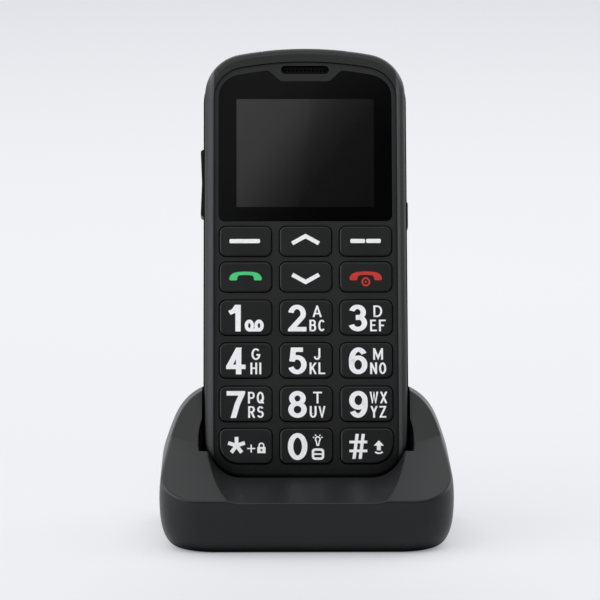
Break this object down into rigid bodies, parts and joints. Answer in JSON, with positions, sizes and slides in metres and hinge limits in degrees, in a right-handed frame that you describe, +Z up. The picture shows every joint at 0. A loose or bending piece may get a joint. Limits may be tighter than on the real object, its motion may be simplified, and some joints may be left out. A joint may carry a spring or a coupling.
{
  "type": "feature phone",
  "caption": "Big-button bar phone standing in a charging cradle, with sprung keys, side controls, an SOS button and a battery cover.",
  "frame": {"origin": "centre of the cradle's rubber mat, on the face that rests on the table", "axes": "+Z up, +X to the right seen from the front, +Y towards the back; the phone's keys face -Y and lean back"},
  "size_m": [0.0748, 0.0709, 0.1217],
  "materials": {
    "cradle_plastic": "fine satin moulding",
    "front_plastic": "fine satin moulding",
    "rear_plastic": "fine matte moulding",
    "key_black": "soft satin with printed legends",
    "window_black": "polished, printed black behind",
    "grille_black": "matte",
    "insert_black": "satin",
    "side_key_black": "satin",
    "sos_plastic": "satin",
    "foot_rubber": "fine ribbed",
    "key_rubber": "matte",
    "board_green": "solder mask",
    "dark_inner_plastic": "moulded",
    "battery_wrap": "printed film, plain",
    "clear_lens": "clear",
    "steel": "plated",
    "contact_gold": "gold plated"
  },
  "bodies": {
    "cradle": {"cradle_shell": "cradle_plastic", "cradle_base_plate": "cradle_plastic", "cradle_rubber_mat": "foot_rubber", "cradle_screws": "steel", "cradle_circuit_board": "board_green", "cradle_usb_socket": "steel", "cradle_contact_block": "dark_inner_plastic"},
    "phone": {"front_housing": "front_plastic", "rear_housing": "rear_plastic", "display_window": "window_black", "lcd_module": "dark_inner_plastic", "main_circuit_board": "board_green", "keypad_mat": "key_rubber", "dome_sheet": "dark_inner_plastic", "earpiece": "dark_inner_plastic", "earpiece_grille": "grille_black", "loudspeaker": "dark_inner_plastic", "vibration_motor": "steel", "microphone": "steel", "top_insert": "insert_black", "torch_lens": "clear_lens", "torch_led": "clear_lens", "battery": "battery_wrap", "battery_contacts": "contact_gold", "sim_holder": "steel", "housing_screws": "steel", "charging_contacts": "contact_gold", "phone_usb_socket": "steel"},
    "key_star": {"key_star": "key_black"},
    "key_0": {"key_0": "key_black"},
    "key_hash": {"key_hash": "key_black"},
    "key_7": {"key_7": "key_black"},
    "key_8": {"key_8": "key_black"},
    "key_9": {"key_9": "key_black"},
    "key_4": {"key_4": "key_black"},
    "key_5": {"key_5": "key_black"},
    "key_6": {"key_6": "key_black"},
    "key_1": {"key_1": "key_black"},
    "key_2": {"key_2": "key_black"},
    "key_3": {"key_3": "key_black"},
    "key_call": {"key_call": "key_black"},
    "key_down": {"key_down": "key_black"},
    "key_end": {"key_end": "key_black"},
    "key_soft_left": {"key_soft_left": "key_black"},
    "key_up": {"key_up": "key_black"},
    "key_soft_right": {"key_soft_right": "key_black"},
    "volume_rocker": {"volume_rocker": "side_key_black"},
    "side_switch": {"side_switch": "side_key_black"},
    "sos_button": {"sos_button": "sos_plastic"},
    "battery_cover": {"battery_cover": "rear_plastic"},
    "contact_pin_left": {"contact_pin_left": "contact_gold"},
    "contact_pin_right": {"contact_pin_right": "contact_gold"}
  },
  "joints": [
    {"name": "phone_lift", "type": "slide", "parent": "cradle", "child": "phone", "axis": [0, 0.3746, 0.9272], "range_m": [0, 0.045]},
    {"name": "key_star_press", "type": "slide", "parent": "phone", "child": "key_star", "axis": [0, 0.9272, -0.3746], "range_m": [0, 0.0005], "stiffness_N_per_m": 800, "springref_m": -0.0005},
    {"name": "key_0_press", "type": "slide", "parent": "phone", "child": "key_0", "axis": [0, 0.9272, -0.3746], "range_m": [0, 0.0005], "stiffness_N_per_m": 800, "springref_m": -0.0005},
    {"name": "key_hash_press", "type": "slide", "parent": "phone", "child": "key_hash", "axis": [0, 0.9272, -0.3746], "range_m": [0, 0.0005], "stiffness_N_per_m": 800, "springref_m": -0.0005},
    {"name": "key_7_press", "type": "slide", "parent": "phone", "child": "key_7", "axis": [0, 0.9272, -0.3746], "range_m": [0, 0.0005], "stiffness_N_per_m": 800, "springref_m": -0.0005},
    {"name": "key_8_press", "type": "slide", "parent": "phone", "child": "key_8", "axis": [0, 0.9272, -0.3746], "range_m": [0, 0.0005], "stiffness_N_per_m": 800, "springref_m": -0.0005},
    {"name": "key_9_press", "type": "slide", "parent": "phone", "child": "key_9", "axis": [0, 0.9272, -0.3746], "range_m": [0, 0.0005], "stiffness_N_per_m": 800, "springref_m": -0.0005},
    {"name": "key_4_press", "type": "slide", "parent": "phone", "child": "key_4", "axis": [0, 0.9272, -0.3746], "range_m": [0, 0.0005], "stiffness_N_per_m": 800, "springref_m": -0.0005},
    {"name": "key_5_press", "type": "slide", "parent": "phone", "child": "key_5", "axis": [0, 0.9272, -0.3746], "range_m": [0, 0.0005], "stiffness_N_per_m": 800, "springref_m": -0.0005},
    {"name": "key_6_press", "type": "slide", "parent": "phone", "child": "key_6", "axis": [0, 0.9272, -0.3746], "range_m": [0, 0.0005], "stiffness_N_per_m": 800, "springref_m": -0.0005},
    {"name": "key_1_press", "type": "slide", "parent": "phone", "child": "key_1", "axis": [0, 0.9272, -0.3746], "range_m": [0, 0.0005], "stiffness_N_per_m": 800, "springref_m": -0.0005},
    {"name": "key_2_press", "type": "slide", "parent": "phone", "child": "key_2", "axis": [0, 0.9272, -0.3746], "range_m": [0, 0.0005], "stiffness_N_per_m": 800, "springref_m": -0.0005},
    {"name": "key_3_press", "type": "slide", "parent": "phone", "child": "key_3", "axis": [0, 0.9272, -0.3746], "range_m": [0, 0.0005], "stiffness_N_per_m": 800, "springref_m": -0.0005},
    {"name": "key_call_press", "type": "slide", "parent": "phone", "child": "key_call", "axis": [0, 0.9272, -0.3746], "range_m": [0, 0.0005], "stiffness_N_per_m": 800, "springref_m": -0.0005},
    {"name": "key_down_press", "type": "slide", "parent": "phone", "child": "key_down", "axis": [0, 0.9272, -0.3746], "range_m": [0, 0.0005], "stiffness_N_per_m": 800, "springref_m": -0.0005},
    {"name": "key_end_press", "type": "slide", "parent": "phone", "child": "key_end", "axis": [0, 0.9272, -0.3746], "range_m": [0, 0.0005], "stiffness_N_per_m": 800, "springref_m": -0.0005},
    {"name": "key_soft_left_press", "type": "slide", "parent": "phone", "child": "key_soft_left", "axis": [0, 0.9272, -0.3746], "range_m": [0, 0.0005], "stiffness_N_per_m": 800, "springref_m": -0.0005},
    {"name": "key_up_press", "type": "slide", "parent": "phone", "child": "key_up", "axis": [0, 0.9272, -0.3746], "range_m": [0, 0.0005], "stiffness_N_per_m": 800, "springref_m": -0.0005},
    {"name": "key_soft_right_press", "type": "slide", "parent": "phone", "child": "key_soft_right", "axis": [0, 0.9272, -0.3746], "range_m": [0, 0.0005], "stiffness_N_per_m": 800, "springref_m": -0.0005},
    {"name": "volume_rocker_tilt", "type": "hinge", "parent": "phone", "child": "volume_rocker", "pos_m": [-0.02504, 0.02429, 0.08672], "axis": [0, 0.9272, -0.3746], "range_deg": [-3, 3], "stiffness_Nm_per_rad": 0.02},
    {"name": "side_switch_slide", "type": "slide", "parent": "phone", "child": "side_switch", "axis": [0, 0.3746, 0.9272], "range_m": [0, 0.003]},
    {"name": "sos_press", "type": "slide", "parent": "phone", "child": "sos_button", "axis": [0, -0.9272, 0.3746], "range_m": [0, 0.0008], "stiffness_N_per_m": 800, "springref_m": -0.0005},
    {"name": "battery_cover_lift", "type": "slide", "parent": "phone", "child": "battery_cover", "axis": [0, 0.9272, -0.3746], "range_m": [0, 0.02]},
    {"name": "contact_pin_left_press", "type": "slide", "parent": "cradle", "child": "contact_pin_left", "axis": [0, -0.3746, -0.9272], "range_m": [0, 0.0006], "stiffness_N_per_m": 400, "springref_m": -0.0005},
    {"name": "contact_pin_right_press", "type": "slide", "parent": "cradle", "child": "contact_pin_right", "axis": [0, -0.3746, -0.9272], "range_m": [0, 0.0006], "stiffness_N_per_m": 400, "springref_m": -0.0005}
  ]
}
